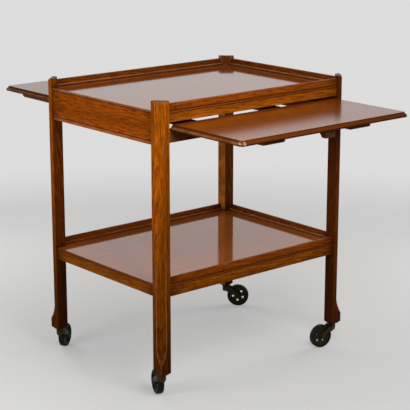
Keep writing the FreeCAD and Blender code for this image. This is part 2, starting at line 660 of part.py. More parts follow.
def wheel_disc():
    """Disc wheel about the local Y axis: hub, web with round holes, and rim."""
    tread_seat = WHEEL_RADIUS - TYRE_HEIGHT
    hub = ARM_INNER - HUB_SIDE_GAP
    half_rim = RIM_WIDTH / 2
    half_web = WEB_THICKNESS / 2
    hub_radius = HUB_DIAMETER / 2
    rim_inner = tread_seat - RIM_DEPTH
    profile = [
        (AXLE_DIAMETER / 2 + AXLE_FIT, -hub, 0),
        (hub_radius, -hub, HUB_ROUND),
        (hub_radius, -half_web, WEB_FILLET),
        (rim_inner, -half_web, WEB_FILLET),
        (rim_inner, -half_rim, RIM_ROUND),
        (tread_seat, -half_rim, 0),
        (tread_seat, half_rim, 0),
        (rim_inner, half_rim, RIM_ROUND),
        (rim_inner, half_web, WEB_FILLET),
        (hub_radius, half_web, WEB_FILLET),
        (hub_radius, hub, HUB_ROUND),
        (AXLE_DIAMETER / 2 + AXLE_FIT, hub, 0),
    ]
    disc = ring(profile)
    for index in range(WHEEL_HOLES):
        angle = 2 * math.pi * index / WHEEL_HOLES
        hole = cross_pin(WHEEL_HOLE_DIAMETER / 2, -TYRE_WIDTH, TYRE_WIDTH)
        hole.translate(Vector(HOLE_CIRCLE * math.cos(angle), 0, HOLE_CIRCLE * math.sin(angle)))
        disc = disc.cut(hole)
    return disc


def tyre():
    """Solid tyre with rounded shoulders, which also laps the sides of the rim."""
    seat = WHEEL_RADIUS - TYRE_HEIGHT + TYRE_SEAT_GAP
    half = TYRE_WIDTH / 2
    profile = [
        (seat, -half, 0),
        (WHEEL_RADIUS, -half, TYRE_SHOULDER),
        (WHEEL_RADIUS, half, TYRE_SHOULDER),
        (seat, half, 0),
    ]
    return ring(profile)


def axle():
    """Axle pin with a low domed head at each end, outside the fork's arms."""
    pin = cross_pin(AXLE_DIAMETER / 2, -ARM_OUTER, ARM_OUTER)
    head = cross_pin(AXLE_HEAD / 2, ARM_OUTER, ARM_OUTER + AXLE_HEAD_HEIGHT)
    rim = [edge for edge in head.Edges if abs(edge.BoundBox.Center.y - ARM_OUTER - AXLE_HEAD_HEIGHT) < 1e-6]
    head = head.makeFillet(AXLE_HEAD_HEIGHT * 0.8, rim)
    return pin.multiFuse([head, turned(head, 180.0)]).removeSplitter()


def fork_arm():
    """Side arm of the fork, swept back from the crown to the axle, in the plane of the wheel."""
    top = AXLE_TO_FLANGE
    shoulder = Vector(CROWN_FRONT * 0.5, ARM_INNER, top)
    heel = Vector(BOSS_RADIUS, ARM_INNER, AXLE_TO_BOSS)
    eye = Vector(TRAIL, ARM_INNER, 0)
    rise = math.radians(55)
    fall = math.radians(-125)
    eye_top = eye + Vector(ARM_EYE * math.cos(rise), 0, ARM_EYE * math.sin(rise))
    eye_end = eye + Vector(ARM_EYE * math.cos((rise + fall) / 2), 0, ARM_EYE * math.sin((rise + fall) / 2))
    eye_foot = eye + Vector(ARM_EYE * math.cos(fall), 0, ARM_EYE * math.sin(fall))
    back = (shoulder + eye_top) * 0.5 + Vector(0, 0, ARM_BULGE)
    belly = (heel + eye_foot) * 0.5 + Vector(0, 0, ARM_HOLLOW)
    edges = [
        Part.LineSegment(Vector(-BOSS_RADIUS, ARM_INNER, top), shoulder).toShape(),
        Part.Arc(shoulder, back, eye_top).toShape(),
        Part.Arc(eye_top, eye_end, eye_foot).toShape(),
        Part.Arc(eye_foot, belly, heel).toShape(),
        Part.LineSegment(heel, Vector(-BOSS_RADIUS, ARM_INNER, AXLE_TO_CROWN)).toShape(),
        Part.LineSegment(Vector(-BOSS_RADIUS, ARM_INNER, AXLE_TO_CROWN),
                         Vector(-BOSS_RADIUS, ARM_INNER, top)).toShape(),
    ]
    return Part.Face(Part.Wire(edges)).extrude(Vector(0, ARM_THICKNESS, 0))


def fork_plan():
    """Upright prism over the fork's plan: a rounded nose round the swivel, flaring to the arms."""
    half_nose = NOSE_WIDTH / 2
    corners = [
        (Vector(-BOSS_RADIUS, -half_nose, -WHEEL_RADIUS), CROWN_ROUND),
        (Vector(ARM_FLARE, -ARM_OUTER, -WHEEL_RADIUS), CROWN_ROUND),
        (Vector(2 * TRAIL, -ARM_OUTER, -WHEEL_RADIUS), 0),
        (Vector(2 * TRAIL, ARM_OUTER, -WHEEL_RADIUS), 0),
        (Vector(ARM_FLARE, ARM_OUTER, -WHEEL_RADIUS), CROWN_ROUND),
        (Vector(-BOSS_RADIUS, half_nose, -WHEEL_RADIUS), CROWN_ROUND),
    ]
    return Part.Face(outline(corners)).extrude(Vector(0, 0, WHEEL_RADIUS + AXLE_TO_FLANGE))


def fork():
    """Fork trailing along +X, with the axle's height at z = 0 and the swivel stem at x = 0."""
    plan = fork_plan()
    arm = fork_arm()
    other = arm.copy()
    other.translate(Vector(0, -ARM_INNER - ARM_OUTER, 0))
    arms = arm.fuse(other).common(plan)
    crown = plan.common(block(-TRAIL, CROWN_FRONT, -2 * ARM_OUTER, 2 * ARM_OUTER,
                              AXLE_TO_CROWN, AXLE_TO_FLANGE))
    boss = Part.makeCylinder(BOSS_RADIUS, AXLE_TO_FLANGE - AXLE_TO_BOSS, Vector(0, 0, AXLE_TO_BOSS))
    boss_foot = [edge for edge in boss.Edges if abs(edge.BoundBox.ZMax - AXLE_TO_BOSS) < 1e-6]
    boss = boss.makeFillet(BOSS_ROUND, boss_foot)
    stem = Part.makeCylinder(STEM_DIAMETER / 2, STEM_LENGTH, Vector(0, 0, AXLE_TO_FLANGE))
    whole = arms.multiFuse([crown, boss, stem])
    hole = cross_pin(AXLE_DIAMETER / 2 + AXLE_FIT, -2 * ARM_OUTER, 2 * ARM_OUTER)
    hole.translate(Vector(TRAIL, 0, 0))
    return whole.cut(hole).removeSplitter()


def socket():
    """Socket pressed up into the foot of a leg, with the flange that the fork turns against."""
    flange = Part.makeCylinder(SOCKET_DIAMETER / 2, SOCKET_FLANGE, Vector(0, 0, FLANGE_BOTTOM))
    tube = Part.makeCylinder(SOCKET_TUBE / 2, SOCKET_TOP - FLANGE_BOTTOM, Vector(0, 0, FLANGE_BOTTOM))
    bore = Part.makeCylinder(STEM_DIAMETER / 2 + STEM_FIT, SOCKET_TOP - FLANGE_BOTTOM,
                             Vector(0, 0, FLANGE_BOTTOM))
    return flange.fuse(tube).cut(bore).removeSplitter()


def make_castors():
    """A castor under each leg, turned to the way it trails."""
    pieces = {"castor_fork": fork(), "castor_axle": axle(), "castor_wheel": wheel_disc(), "castor_tyre": tyre()}
    for corner, (x, y) in LEG_PLACE.items():
        fixed = socket()
        fixed.translate(Vector(x, y, 0))
        save(corner + "_castor_socket", fixed)
        for name, piece in pieces.items():
            placed = piece.copy()
            if name == "castor_wheel":
                placed.rotate(Vector(0, 0, 0), Vector(0, 1, 0), -WHEEL_TURN[corner])
            if name != "castor_fork":
                placed.translate(Vector(TRAIL, 0, 0))
            placed = turned(placed, TRAIL_ANGLE[corner])
            placed.translate(Vector(x, y, WHEEL_RADIUS))
            save(corner + "_" + name, placed)


def make_frame():
    """Rails, trays and galleries, and then the legs that they are joined to."""
    for side in ("front", "back"):
        rail("upper_" + side + "_rail", side, plain_profile(UPPER_RAIL_BOTTOM, UPPER_RAIL_TOP),
             UPPER_RAIL_BOTTOM, UPPER_RAIL_TOP)
    apron_cut = Part.makeCompound([turned(one, -90.0) for one in runner_screws(SCREW_GAP)])
    for side in ("left", "right"):
        rail(side + "_apron", side, apron_profile(), APRON_BOTTOM, UPPER_RAIL_TOP, [apron_cut])
    slide_rail("front_slide_rail", "front", FRONT_BEARER_X)
    slide_rail("back_slide_rail", "back", BACK_BEARER_X)
    for side in ("front", "back", "left", "right"):
        rail("lower_" + side + "_rail", side, plain_profile(LOWER_RAIL_BOTTOM, LOWER_RAIL_TOP),
             LOWER_RAIL_BOTTOM, LOWER_RAIL_TOP)
    tray_board("upper_tray_board", UPPER_RAIL_TOP)
    tray_board("lower_tray_board", LOWER_RAIL_TOP)
    for side in ("front", "back", "right"):
        gallery("upper_" + side + "_gallery", side, UPPER_BOARD_TOP - GALLERY_HOUSING)
        gallery("lower_" + side + "_gallery", side, LOWER_BOARD_TOP - GALLERY_HOUSING)
    make_legs()


make_frame()
make_guides()
make_leaf("front", FRONT_BEARER_X)
make_leaf("back", BACK_BEARER_X)
make_castors()
print("leaf travel", round(LEAF_TRAVEL, 3), "castor trail", round(TRAIL, 3), "foot", round(FOOT_BOTTOM, 3))
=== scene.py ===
# %% [markdown]
# # A draw-leaf tea trolley in stained oak
#
# The trolley comes in as a finished set of parts, already at its real size and place, in metres.
# This lesson dresses it: a camera, a floor, soft light, and the finishes of wood, iron and rubber.

# %% Load the parts
import math
from types import SimpleNamespace

import bpy
import numpy as np
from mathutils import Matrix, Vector


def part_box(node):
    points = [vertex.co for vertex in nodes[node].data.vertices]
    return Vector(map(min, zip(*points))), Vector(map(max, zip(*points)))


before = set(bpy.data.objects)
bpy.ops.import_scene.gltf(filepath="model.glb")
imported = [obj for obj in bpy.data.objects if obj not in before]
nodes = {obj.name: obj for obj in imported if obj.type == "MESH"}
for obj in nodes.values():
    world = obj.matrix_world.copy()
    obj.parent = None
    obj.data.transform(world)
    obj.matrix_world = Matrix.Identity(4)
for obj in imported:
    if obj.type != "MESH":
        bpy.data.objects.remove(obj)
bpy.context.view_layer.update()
MM = 0.001

# %% [markdown]
# ## The camera
#
# The trolley was seen from beyond its open end, a little above the leaves, through a long lens.
# A long lens far away keeps the legs nearly parallel. A wide lens close by could frame the same
# object, but the legs would lean together. The place, the aim and the lens below were fitted to the
# straight edges of the legs and rails.

# %% Place the camera
CAMERA_PLACE = Vector((-2301.5, -2748.0, 1341.6)) * MM
CAMERA_HEADING = math.radians(49.688)     # from +X towards +Y
CAMERA_PITCH = math.radians(14.619)       # below the horizon
IMAGE_PIXELS = 410
FOCAL_PIXELS = 1372.9
SENSOR_WIDTH = 36.0                       # mm, as the lens


def direction(heading, rise):
    """Unit vector from a heading in the floor plane and a rise above it."""
    flat = math.cos(rise)
    return Vector((math.cos(heading) * flat, math.sin(heading) * flat, math.sin(rise)))


camera_data = bpy.data.cameras.new("camera")
camera_data.sensor_width = SENSOR_WIDTH
camera_data.lens = FOCAL_PIXELS * SENSOR_WIDTH / IMAGE_PIXELS
camera = bpy.data.objects.new("camera", camera_data)
camera.location = CAMERA_PLACE
camera.rotation_euler = direction(CAMERA_HEADING, -CAMERA_PITCH).to_track_quat("-Z", "Y").to_euler()
bpy.context.scene.collection.objects.link(camera)
bpy.context.scene.camera = camera
bpy.context.scene.view_settings.view_transform = "Standard"
print("lens:", round(camera_data.lens, 1), "mm")

# %% [markdown]
# ## Small helpers
#
# Colours are written as they look on a screen, as hex codes, but a shader works in linear light.
# One function turns the first into the second. Another adds a node to a material, sets its
# properties, and fills its inputs with plain values or with links from earlier nodes.

# %% Helpers for colours and nodes
def linear(code):
    """Linear RGBA of an sRGB hex code: below 0.04045 divide by 12.92, above it raise to 2.4."""
    srgb = np.array([int(code[i:i + 2], 16) for i in (1, 3, 5)]) / 255
    value = np.where(srgb <= 0.04045, srgb / 12.92, ((srgb + 0.055) / 1.055) ** 2.4)
    return (*map(float, value), 1.0)


def add_node(tree, kind, inputs=None, stops=None, **settings):
    """Add a node with its settings, its inputs (values or sockets) and, on a ramp, its stops."""
    node = tree.nodes.new(kind)
    for key, value in settings.items():
        setattr(node, key, value)
    for key, value in (inputs or {}).items():
        if isinstance(value, bpy.types.NodeSocket):
            tree.links.new(value, node.inputs[key])
        else:
            node.inputs[key].default_value = value
    for index, (place, code) in enumerate(stops or []):
        ramp = node.color_ramp.elements
        stop = ramp[index] if index < 2 else ramp.new(place)
        stop.position = place
        stop.color = linear(code)
    return node


def new_material(name):
    """An empty material with its node tree and its Principled shader."""
    material = bpy.data.materials.new(name)
    material.use_nodes = True
    return material, material.node_tree, material.node_tree.nodes["Principled BSDF"]


print("middle grey in linear light:", round(linear("#808080")[0], 3))

# %% [markdown]
# ## Floor and background
#
# A plain pale floor shows where the castors stand, and takes the trolley's shadow. Further away it
# turns into an even pale tone, so that no wall is needed and every side looks alike. The sky has the
# same tone to the eye and in the polished boards, which mirror it, but both light the wood more
# gently: a bright floor would fill every shadow under the trays.

# %% Lay the floor
FLOOR_RADIUS = 30.0            # metres
FLOOR_SIDES = 96

turn = np.linspace(0, 2 * np.pi, FLOOR_SIDES, endpoint=False)
rim = np.stack([FLOOR_RADIUS * np.cos(turn), FLOOR_RADIUS * np.sin(turn), 0 * turn], axis=1)
floor_mesh = bpy.data.meshes.new("floor")
floor_mesh.from_pydata(rim.tolist(), [], [list(range(FLOOR_SIDES))])
floor = bpy.data.objects.new("floor", floor_mesh)
bpy.context.scene.collection.objects.link(floor)
print("floor radius:", FLOOR_RADIUS, "m")

# %% Paint the floor
LIT_RADIUS = 0.8               # metres from the middle, shaded by the trolley
EVEN_RADIUS = 2.4              # from here on, an even tone
EVEN_SHARE = 0.4               # of that tone under the trolley
FLOOR_COLOUR = "#dddcda"
FLOOR_BOUNCE = "#77726a"       # the floor as the wood sees it
FLOOR_ROUGHNESS = 0.6
FLOOR_SHINE = 0.2
SKY_SEEN = 0.72                # the even tone


def seen_share(tree):
    """1 where a surface is looked at, or mirrored, and 0 where it only gives light."""
    ray = add_node(tree, "ShaderNodeLightPath")
    seen = ray.outputs["Is Camera Ray"]
    for kind in ("Is Glossy Ray", "Is Transmission Ray"):
        seen = add_node(tree, "ShaderNodeMath", {0: seen, 1: ray.outputs[kind]},
                        operation="MAXIMUM").outputs[0]
    return seen


# A painted floor: pale and dull, so that the shadow on it stays soft
floor_paint, tree, shader = new_material("pale floor")
floor_mesh.materials.append(floor_paint)
seen = seen_share(tree)
tone = add_node(tree, "ShaderNodeMix",
                {"Factor": seen, "A": linear(FLOOR_BOUNCE), "B": linear(FLOOR_COLOUR)},
                data_type="RGBA")
tree.links.new(tone.outputs["Result"], shader.inputs["Base Color"])
shader.inputs["Roughness"].default_value = FLOOR_ROUGHNESS
shader.inputs["Specular IOR Level"].default_value = FLOOR_SHINE
place = add_node(tree, "ShaderNodeTexCoord").outputs["Object"]
distance = add_node(tree, "ShaderNodeVectorMath", {0: place}, operation="LENGTH")
even = add_node(tree, "ShaderNodeMapRange",
                {"Value": distance.outputs["Value"], "From Min": LIT_RADIUS, "From Max": EVEN_RADIUS,
                 "To Min": EVEN_SHARE}, interpolation_type="SMOOTHSTEP")
even = add_node(tree, "ShaderNodeMath", {0: even.outputs[0], 1: seen}, operation="MULTIPLY")
glow = add_node(tree, "ShaderNodeEmission", {"Color": (SKY_SEEN, SKY_SEEN, SKY_SEEN, 1.0)})
blend = add_node(tree, "ShaderNodeMixShader",
                 {0: even.outputs[0], 1: shader.outputs[0], 2: glow.outputs[0]})
tree.links.new(blend.outputs[0], tree.nodes["Material Output"].inputs["Surface"])
print(floor_paint.name, "even from", EVEN_RADIUS, "m")

# %% Make the sky
SKY_LIGHT = 0.16               # the sky as the wood sees it

world = bpy.data.worlds.new("pale sky")
bpy.context.scene.world = world
world.use_nodes = True
tree = world.node_tree
strength = add_node(tree, "ShaderNodeMapRange",
                    {"Value": seen_share(tree), "To Min": SKY_LIGHT, "To Max": SKY_SEEN})
sky = tree.nodes["Background"]
sky.inputs["Color"].default_value = (1.0, 1.0, 1.0, 1.0)
tree.links.new(strength.outputs[0], sky.inputs["Strength"])
print(world.name, "of strength", SKY_SEEN, "to the eye and", SKY_LIGHT, "as light")

# %% [markdown]
# ## Light
#
# The light is soft and near. One large lamp stands low beyond the open end, and reaches in under the
# upper tray. Another hangs in front of the near long side, a little above the leaf. Because both are
# near, the light fades towards the far end and the floor, and the far inner faces stay dark. A third,
# wider lamp overhead lights the boards evenly. Two more face the far sides, so that the trolley can be
# looked at from behind. They stand low and to the sides, where the polished boards don't mirror them
# towards the camera.

# %% Hang the lamps
SIDE_LAMP = 0.6                # widths, in metres
TOP_LAMP = 1.6


def soft_lamp(name, place, target, size, watts):
    """A square lamp at a place, facing a target, hidden from view."""
    data = bpy.data.lights.new(name, "AREA")
    data.size = size
    data.energy = watts
    lamp = bpy.data.objects.new(name, data)
    lamp.location = place
    lamp.rotation_euler = (Vector(target) - Vector(place)).to_track_quat("-Z", "Y").to_euler()
    lamp.visible_camera = False
    bpy.context.scene.collection.objects.link(lamp)


soft_lamp("left lamp", (-1.5, -0.04, 0.72), target=(-0.2, 0.0, 0.5), size=SIDE_LAMP, watts=7.8)
soft_lamp("front lamp", (-0.34, -1.1, 1.2), target=(-0.2, -0.2, 0.6), size=SIDE_LAMP, watts=11.4)
soft_lamp("top lamp", (0.1, 0.2, 2.6), target=(0.0, 0.0, 0.5), size=TOP_LAMP, watts=9.0)
soft_lamp("right lamp", (1.5, -0.1, 0.72), target=(0.2, 0.0, 0.5), size=SIDE_LAMP, watts=6.5)
soft_lamp("back lamp", (-0.1, 1.5, 0.72), target=(0.0, 0.2, 0.5), size=SIDE_LAMP, watts=6.5)

# %% [markdown]
# ## Stained oak
#
# Legs, rails, aprons and galleries are solid oak, planed along the grain, stained golden brown and
# rubbed to a low satin shine. Oak shows fine dark pores in long streaks, faint arcs of early and late
# wood, and short pale flecks. A picture of wood would repeat and would not follow each piece, so the
# figure is worked out in space and stretched along the length of the piece. Most details start from
# a noise whose values lie around a half, and show only where it is high.

# %% The figure of oak, along a chosen axis
AXES = {"x": 0, "y": 1, "z": 2}
STREAK_WIDTH = 2.4 * MM        # pores run together into streaks; drawn coarser than real pores
ARC_WIDTH = 9.0 * MM           # early to late wood, wide enough to show
FLECK_WIDTH = 2.6 * MM
PORE_WIDTH = 1.0 * MM
PATCH_SIZE = 28.0 * MM         # slow changes of tone, across the grain
STRETCH = {"streaks": 16.0, "arcs": 8.0, "flecks": 4.0, "pores": 34.0}     # along the grain
WAVE_PERIOD = 0.628            # metres between the bands of a wave texture of scale 1
FLECK_SHARE = 0.65
PORE_SHARE = 0.6


def along(axis, stretch):
    """Scale vector that stretches a pattern along one axis by the given factor."""
    scale = [1.0, 1.0, 1.0]
    scale[AXES[axis]] = 1.0 / stretch
    return scale


def oak_figure(tree, place, axis, tones, figure):
    """Colour of oak along the axis, and the noises of its streaks, patches and pores.

    Streaks go from the dark tone over the middle one to the light one. Arcs lay the dark tone over
    them, as strong as figure says and strongest in some patches. Flecks lay on the light tone, and
    pores the dark one.
    """
    light, middle, dark = tones
    grain = {}
    for detail, stretch in STRETCH.items():
        grain[detail] = add_node(tree, "ShaderNodeMapping",
                                 {"Vector": place, "Scale": along(axis, stretch)}).outputs[0]
    streaks = add_node(tree, "ShaderNodeTexNoise",
                       {"Vector": grain["streaks"], "Scale": 1.0 / STREAK_WIDTH, "Detail": 4.0,
                        "Roughness": 0.6}).outputs["Fac"]
    patches = add_node(tree, "ShaderNodeTexNoise",
                       {"Vector": grain["streaks"], "Scale": 1.0 / PATCH_SIZE,
                        "Detail": 1.0}).outputs["Fac"]
    arcs = add_node(tree, "ShaderNodeTexWave",
                    {"Vector": grain["arcs"], "Scale": WAVE_PERIOD / ARC_WIDTH, "Distortion": 9.0,
                     "Detail": 2.0, "Detail Scale": 0.4, "Detail Roughness": 0.5},
                    wave_type="BANDS", bands_direction="DIAGONAL", wave_profile="SAW").outputs["Fac"]
    flecks = add_node(tree, "ShaderNodeTexNoise",
                      {"Vector": grain["flecks"], "Scale": 1.0 / FLECK_WIDTH,
                       "Detail": 2.0}).outputs["Fac"]
    pores = add_node(tree, "ShaderNodeTexNoise",
                     {"Vector": grain["pores"], "Scale": 1.0 / PORE_WIDTH,
                      "Detail": 1.0}).outputs["Fac"]

    arc_depth = add_node(tree, "ShaderNodeMapRange",
                         {"Value": arcs, "From Min": 0.45, "To Max": figure})
    arc_place = add_node(tree, "ShaderNodeMapRange",
                         {"Value": patches, "From Min": 0.45, "From Max": 0.62, "To Min": 0.15})
    arc_mix = add_node(tree, "ShaderNodeMath", {0: arc_depth.outputs[0], 1: arc_place.outputs[0]},
                       operation="MULTIPLY")
    fleck_mix = add_node(tree, "ShaderNodeMapRange",
                         {"Value": flecks, "From Min": 0.52, "From Max": 0.7, "To Max": FLECK_SHARE})
    pore_mix = add_node(tree, "ShaderNodeMapRange",
                        {"Value": pores, "From Min": 0.55, "From Max": 0.75, "To Max": PORE_SHARE})
    colour = add_node(tree, "ShaderNodeValToRGB", {"Fac": streaks},
                      stops=[(0.3, dark), (0.66, light), (0.46, middle)]).outputs["Color"]
    for mix, code in ((arc_mix, dark), (fleck_mix, light), (pore_mix, dark)):
        colour = add_node(tree, "ShaderNodeMix",
                          {"Factor": mix.outputs[0], "A": colour, "B": linear(code)},
                          data_type="RGBA").outputs["Result"]
    return colour, streaks, patches, pores


print("streaks:", round(STREAK_WIDTH / MM, 1), "by", round(STREAK_WIDTH * STRETCH["streaks"] / MM), "mm")

# %% [markdown]
# ## Stain, wear and shine
#
# Painted shade makes the stain darker towards the floor, and painted light makes the lower galleries
# paler. It drifts a little from patch to patch. Marks of wear, painted shade and painted highlights are
# laid over it, each a colour and a mask. The shine is low, and only what faces up, where hands have
# rubbed it, has a thin clear coat. Fine pores give a slight relief.

# %% Oak with its stain, marks and shine
FOOT_SHADE_HEIGHT = 60.0 * MM        # painted shading has its foot value here
UNSHADED_HEIGHT = 560.0 * MM       # and is gone from here up
DRIFT_DOWN = 0.4               # of the figure: how far patches are darker
DRIFT_UP = 0.3                 # and lighter
OAK_SHINE = 0.02
OAK_ROUGHNESS = (0.34, 0.56)   # of dark streaks and of light ones
OAK_POLISH = 0.45              # clear coat on what faces up
OAK_BLUR = 0.3                 # roughness of that coat
PORE_RELIEF = 0.25
PORE_DEPTH = 0.2 * MM


def read_surface(tree):
    """Sockets that say where a point of the surface lies, and which way it faces."""
    place = add_node(tree, "ShaderNodeTexCoord").outputs["Object"]
    normal = add_node(tree, "ShaderNodeNewGeometry").outputs["Normal"]
    lies = add_node(tree, "ShaderNodeSeparateXYZ", {"Vector": place}).outputs
    faces = add_node(tree, "ShaderNodeSeparateXYZ", {"Vector": normal}).outputs
    return SimpleNamespace(place=place, normal=normal, x=lies["X"], height=lies["Z"],
                           faces_x=faces["X"], faces_up=faces["Z"])


def stained_oak(name, axis, tones, figure=0.6, foot_shading=0.75, marks=()):
    """Oak whose colour, roughness and bump follow its figure along the axis.

    The tones are a light, a middle and a dark one, and figure says how strong the arcs and slow
    changes are. Painted shading scales the brightness from foot_shading near the floor to 1: below 1
    it is painted shade, above 1 painted light. Each mark is a colour and a function that makes its
    mask, from the tree and the surface.
    """
    material, tree, shader = new_material(name)
    surface = read_surface(tree)
    colour, streaks, patches, pores = oak_figure(tree, surface.place, axis, tones, figure)

    drift = add_node(tree, "ShaderNodeMapRange",
                     {"Value": patches, "From Min": 0.3, "From Max": 0.7,
                      "To Min": 1.0 - DRIFT_DOWN * figure, "To Max": 1.0 + DRIFT_UP * figure})
    # Painted shade by height: darker towards the floor, where the trays above shade the lower parts
    height_shade = add_node(tree, "ShaderNodeMapRange",
                     {"Value": surface.height, "From Min": FOOT_SHADE_HEIGHT, "From Max": UNSHADED_HEIGHT,
                      "To Min": foot_shading})
    tone = add_node(tree, "ShaderNodeMath", {0: drift.outputs[0], 1: height_shade.outputs[0]},
                    operation="MULTIPLY")
    colour = add_node(tree, "ShaderNodeMix", {"Factor": 1.0, "A": colour, "B": tone.outputs[0]},
                      data_type="RGBA", blend_type="MULTIPLY").outputs["Result"]
    for code, make_mask in marks:
        colour = add_node(tree, "ShaderNodeMix",
                          {"Factor": make_mask(tree, surface), "A": colour, "B": linear(code)},
                          data_type="RGBA").outputs["Result"]
    tree.links.new(colour, shader.inputs["Base Color"])

    smooth, rough = OAK_ROUGHNESS
    roughness = add_node(tree, "ShaderNodeMapRange",
                         {"Value": streaks, "To Min": smooth, "To Max": rough})
    tree.links.new(roughness.outputs[0], shader.inputs["Roughness"])
    shader.inputs["Specular IOR Level"].default_value = OAK_SHINE
    coat = add_node(tree, "ShaderNodeMapRange",
                    {"Value": surface.faces_up, "From Min": 0.3, "From Max": 0.9, "To Max": OAK_POLISH})
    tree.links.new(coat.outputs[0], shader.inputs["Coat Weight"])
    shader.inputs["Coat Roughness"].default_value = OAK_BLUR
    bump = add_node(tree, "ShaderNodeBump",
                    {"Height": pores, "Strength": PORE_RELIEF, "Distance": PORE_DEPTH})
    tree.links.new(bump.outputs["Normal"], shader.inputs["Normal"])
    return material


print("stain at its full tone from", UNSHADED_HEIGHT, "m up")

# %% [markdown]
# ## Rubbed arrises and dark corners
#
# The long arrises of the legs' chamfers have lost their stain, most of all near the floor, where feet
# and brooms touch them, and a painted highlight lies on them at the very top. So have the edge of the
# hollow cut out of each leg's inner corner and the arris above the bead of the aprons, and a painted
# highlight runs along the bead inside the galleries. Painted shade darkens the foot of the galleries,
# the groove over the aprons' bead and the corners where the legs meet the trays, and end grain at the
# tops of the legs has soaked up more stain. The front leg at the far end is darker at its top, and the
# one behind it has painted light on the side that looks towards the open end. A paint stroke along each
# edge would have to be drawn by hand. Instead, a mask is worked out from how far a point is from those
# lines.

# %% Arrises of the legs
leg_low, leg_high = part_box("front_left_leg")
LEG_FOOT = leg_low.z
LEG_TOP = leg_high.z
OUTER_CORNER = (-leg_low.x, -leg_low.y, 0.0)
INNER_CORNER = (-leg_high.x, -leg_high.y, 0.0)
RUBBED_WIDTH = 1.0 * MM
PATCH_LENGTH = 30.0 * MM         # worn arrises and painted highlights come in patches of about this length


def chamfer_arris(tree, surface, corner, sign, run, stop, full):
    """Mask of the two arrises of a stopped chamfer on every leg.

    From the corner, a point lies a distance inwards along X and another along Y. On the chamfer they
    add up to its run, which grows from nothing at the stop to its full size as a parabola. On an
    arris, one of the two is also zero. The sign is -1 from an outer corner and 1 from an inner one,
    so that inwards is always into the leg.
    """
    mirrored = add_node(tree, "ShaderNodeVectorMath", {0: surface.place}, operation="ABSOLUTE")
    inwards = add_node(tree, "ShaderNodeVectorMath",
                       {0: mirrored.outputs[0], 1: (sign, sign, 0.0), 2: [-sign * c for c in corner]},
                       operation="MULTIPLY_ADD")
    inwards = add_node(tree, "ShaderNodeSeparateXYZ", {"Vector": inwards.outputs[0]}).outputs
    both = add_node(tree, "ShaderNodeMath", {0: inwards["X"], 1: inwards["Y"]}, operation="ADD")
    smaller = add_node(tree, "ShaderNodeMath", {0: inwards["X"], 1: inwards["Y"]}, operation="MINIMUM")
    short_of_full = add_node(tree, "ShaderNodeMapRange",
                             {"Value": surface.height, "From Min": stop, "From Max": full,
                              "To Min": 1.0, "To Max": 0.0})
    parabola = add_node(tree, "ShaderNodeMath", {0: short_of_full.outputs[0], 1: 2.0}, operation="POWER")
    run_here = add_node(tree, "ShaderNodeMath", {0: parabola.outputs[0], 1: -run, 2: run},
                        operation="MULTIPLY_ADD")
    off = add_node(tree, "ShaderNodeMath", {0: both.outputs[0], 1: run_here.outputs[0]},
                   operation="SUBTRACT")
    off = add_node(tree, "ShaderNodeMath", {0: off.outputs[0]}, operation="ABSOLUTE")
    away = add_node(tree, "ShaderNodeMath", {0: off.outputs[0], 1: smaller.outputs[0]},
                    operation="MAXIMUM")
    return add_node(tree, "ShaderNodeMapRange",
                    {"Value": away.outputs[0], "From Max": RUBBED_WIDTH,
                     "To Min": 1.0, "To Max": 0.0}).outputs[0]


def patchy(tree, surface, mask, share):
    """The mask, kept at the given share (a value or a socket) and broken up along its length."""
    breakup = add_node(tree, "ShaderNodeTexNoise",
                    {"Vector": surface.place, "Scale": 1.0 / PATCH_LENGTH, "Detail": 3.0})
    breakup = add_node(tree, "ShaderNodeMapRange",
                    {"Value": breakup.outputs["Fac"], "From Min": 0.35, "From Max": 0.6, "To Min": 0.35})
    kept = add_node(tree, "ShaderNodeMath", {0: mask, 1: breakup.outputs[0]}, operation="MULTIPLY")
    return add_node(tree, "ShaderNodeMath", {0: kept.outputs[0], 1: share},
                    operation="MULTIPLY").outputs[0]


print("legs from", round(LEG_FOOT, 4), "to", round(LEG_TOP, 4), "m")

# %% Rubbed chamfers and scoops
CHAMFER_RUN = 17.6 * MM
CHAMFER_STOP = LEG_FOOT + 29.5 * MM
CHAMFER_FULL = CHAMFER_STOP + 46.0 * MM
SCOOP_RUN = 20.4 * MM
SCOOP_STOP = LEG_TOP - 32.0 * MM
KICKED_HEIGHT = 300.0 * MM     # up to here feet and brooms reach
SPARED_HEIGHT = 480.0 * MM     # and from here up they don't
KICKED_SHARE = 0.75
SPARED_SHARE = 0.15
# A painted highlight at the top of the chamfer arrises
GLINT_FROM = LEG_TOP - 14.0 * MM
GLINT_FULL = LEG_TOP - 8.0 * MM


def worn_chamfer_and_glint(tree, surface):
    """Outer arrises of the legs: worn most in the lower half, with a painted highlight at the very top.
    """
    mask = chamfer_arris(tree, surface, OUTER_CORNER, -1.0, CHAMFER_RUN, CHAMFER_STOP, CHAMFER_FULL)
    low = add_node(tree, "ShaderNodeMapRange",
                   {"Value": surface.height, "From Min": KICKED_HEIGHT, "From Max": SPARED_HEIGHT,
                    "To Min": KICKED_SHARE, "To Max": SPARED_SHARE})
    glint = add_node(tree, "ShaderNodeMapRange",
                    {"Value": surface.height, "From Min": GLINT_FROM, "From Max": GLINT_FULL})
    share = add_node(tree, "ShaderNodeMath", {0: low.outputs[0], 1: glint.outputs[0]},
                     operation="MAXIMUM")
    return patchy(tree, surface, mask, share.outputs[0])


def rubbed_scoop(tree, surface):
    """Edge of the hollow at the top of each leg's inner corner."""
    mask = chamfer_arris(tree, surface, INNER_CORNER, 1.0, SCOOP_RUN, SCOOP_STOP, LEG_TOP)
    above = add_node(tree, "ShaderNodeMath", {0: surface.height, 1: SCOOP_STOP},
                     operation="GREATER_THAN")
    return patchy(tree, surface, mask, above.outputs[0])


print("chamfers", round(CHAMFER_RUN / MM, 1), "mm, scoops", round(SCOOP_RUN / MM, 1), "mm")

